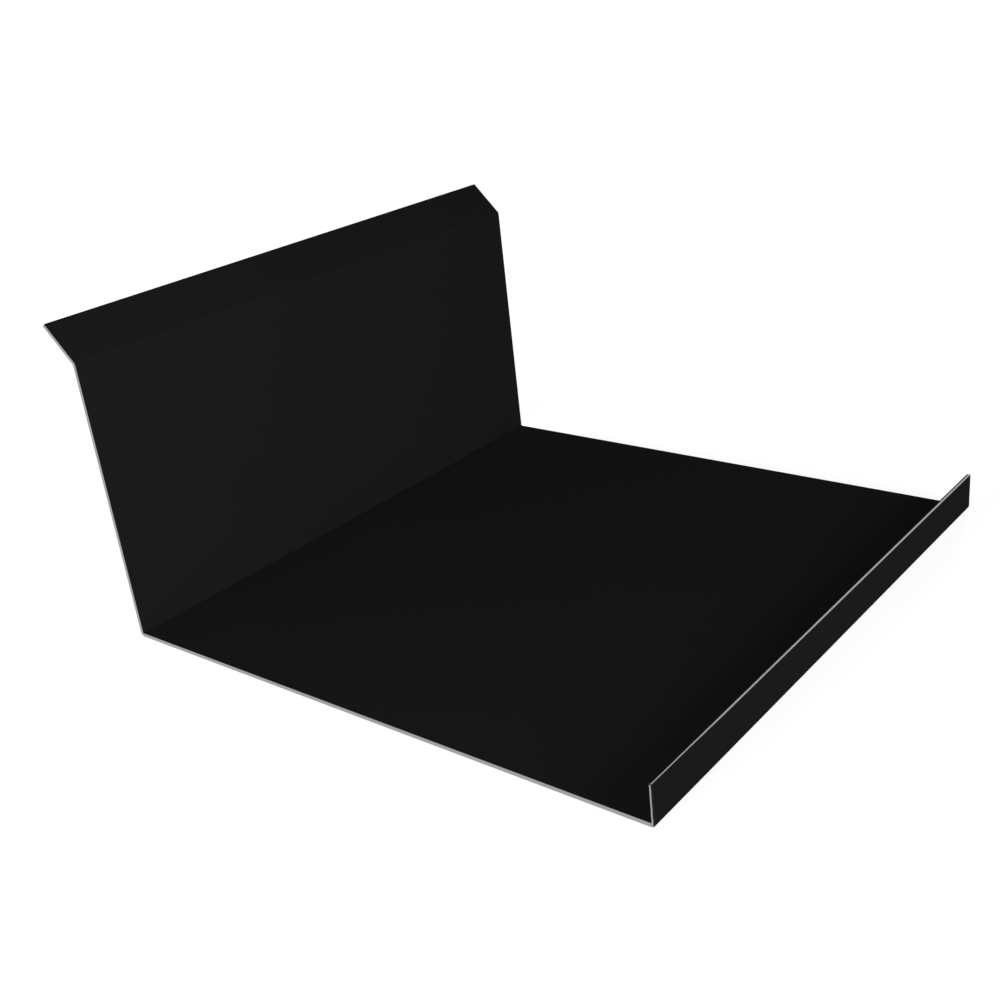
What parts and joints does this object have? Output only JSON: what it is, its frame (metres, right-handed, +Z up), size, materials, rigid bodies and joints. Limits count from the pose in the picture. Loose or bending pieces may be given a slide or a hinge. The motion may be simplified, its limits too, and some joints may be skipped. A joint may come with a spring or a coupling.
{
  "type": "wall abutment flashing",
  "caption": "Folded sheet-metal flashing for a roof-to-wall abutment: flat roof leg with a turned-up front lip, upright wall leg and a top edge kicked back into the wall.",
  "frame": {"origin": "on the heel line, where the plane of the wall face meets the plane of the roof face, halfway along the length", "axes": "+X along the folds, +Y out of the wall leg's back face and into the wall, +Z up from the roof face; the lip and the open side look along -Y"},
  "size_m": [0.2036, 0.2108, 0.105],
  "materials": {
    "black_coating": "matt black factory coating on both faces, bare metal at the cut edges"
  },
  "bodies": {
    "root": {"flashing_sheet": "black_coating"}
  },
  "joints": []
}
